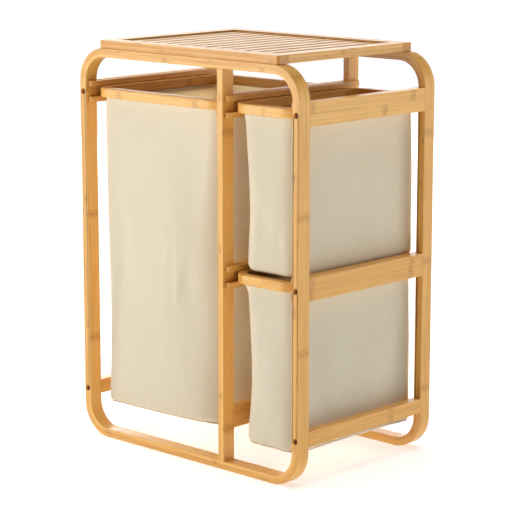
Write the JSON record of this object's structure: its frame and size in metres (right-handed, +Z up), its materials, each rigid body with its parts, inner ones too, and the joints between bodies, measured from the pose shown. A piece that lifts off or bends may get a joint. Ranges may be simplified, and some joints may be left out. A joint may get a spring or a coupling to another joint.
{
  "type": "laundry sorter",
  "caption": "Free-standing bamboo laundry sorter with a slatted top shelf and pull-out fabric bags hung on bentwood rims that slide between wooden rails.",
  "frame": {"origin": "middle of the rectangle that the two hoops stand on, on the floor", "axes": "+X to the object's right seen from its front, -Y towards the front where the bags pull out, +Z up"},
  "size_m": [0.535, 0.35, 0.73],
  "materials": {
    "bent_bamboo": "satin clear lacquer on laminated bamboo",
    "bamboo_boards": "satin clear lacquer on bamboo strips",
    "bamboo_panel": "satin clear lacquer on bamboo strips",
    "rim_bamboo": "satin clear lacquer on bent bamboo",
    "dowel_wood": "plain",
    "screw_steel": "dull zinc",
    "canvas": "plain-weave cotton and linen canvas"
  },
  "bodies": {
    "frame": {"front_hoop": "bent_bamboo", "back_hoop": "bent_bamboo", "front_centre_post": "bent_bamboo", "back_centre_post": "bent_bamboo", "left_top_board": "bamboo_boards", "left_bottom_board": "bamboo_boards", "right_top_board": "bamboo_boards", "right_mid_board": "bamboo_boards", "right_bottom_board": "bamboo_boards", "centre_top_board": "bamboo_boards", "centre_mid_board": "bamboo_boards", "centre_bottom_board": "bamboo_boards", "left_lower_rail": "bamboo_boards", "left_upper_rail": "bamboo_boards", "centre_left_lower_rail": "bamboo_boards", "centre_left_upper_rail": "bamboo_boards", "centre_right_lower_rail": "bamboo_boards", "centre_right_upper_rail": "bamboo_boards", "right_lower_rail": "bamboo_boards", "right_upper_rail": "bamboo_boards", "centre_mid_lower_rail": "bamboo_boards", "centre_mid_upper_rail": "bamboo_boards", "right_mid_lower_rail": "bamboo_boards", "right_mid_upper_rail": "bamboo_boards", "panel_front_rail": "bamboo_panel", "panel_back_rail": "bamboo_panel", "panel_left_rail": "bamboo_panel", "panel_right_rail": "bamboo_panel", "panel_slat_1": "bamboo_panel", "panel_slat_2": "bamboo_panel", "panel_slat_3": "bamboo_panel", "panel_slat_4": "bamboo_panel", "panel_slat_5": "bamboo_panel", "panel_slat_6": "bamboo_panel", "panel_slat_7": "bamboo_panel", "panel_slat_8": "bamboo_panel", "panel_slat_9": "bamboo_panel", "panel_slat_10": "bamboo_panel", "panel_slat_11": "bamboo_panel", "panel_slat_12": "bamboo_panel", "frame_bolts": "screw_steel", "post_screws": "screw_steel", "panel_screws": "screw_steel", "centre_dowels": "dowel_wood", "panel_dowels": "dowel_wood", "rail_dowels": "dowel_wood"},
    "tall_hamper": {"tall_rim": "rim_bamboo", "tall_bag": "canvas"},
    "upper_hamper": {"upper_rim": "rim_bamboo", "upper_bag": "canvas"},
    "lower_hamper": {"lower_rim": "rim_bamboo", "lower_bag": "canvas"}
  },
  "joints": [
    {"name": "tall_slide", "type": "slide", "parent": "frame", "child": "tall_hamper", "axis": [0, -1, 0], "range_m": [0, 0.29]},
    {"name": "upper_slide", "type": "slide", "parent": "frame", "child": "upper_hamper", "axis": [0, -1, 0], "range_m": [0, 0.29]},
    {"name": "lower_slide", "type": "slide", "parent": "frame", "child": "lower_hamper", "axis": [0, -1, 0], "range_m": [0, 0.29]}
  ]
}
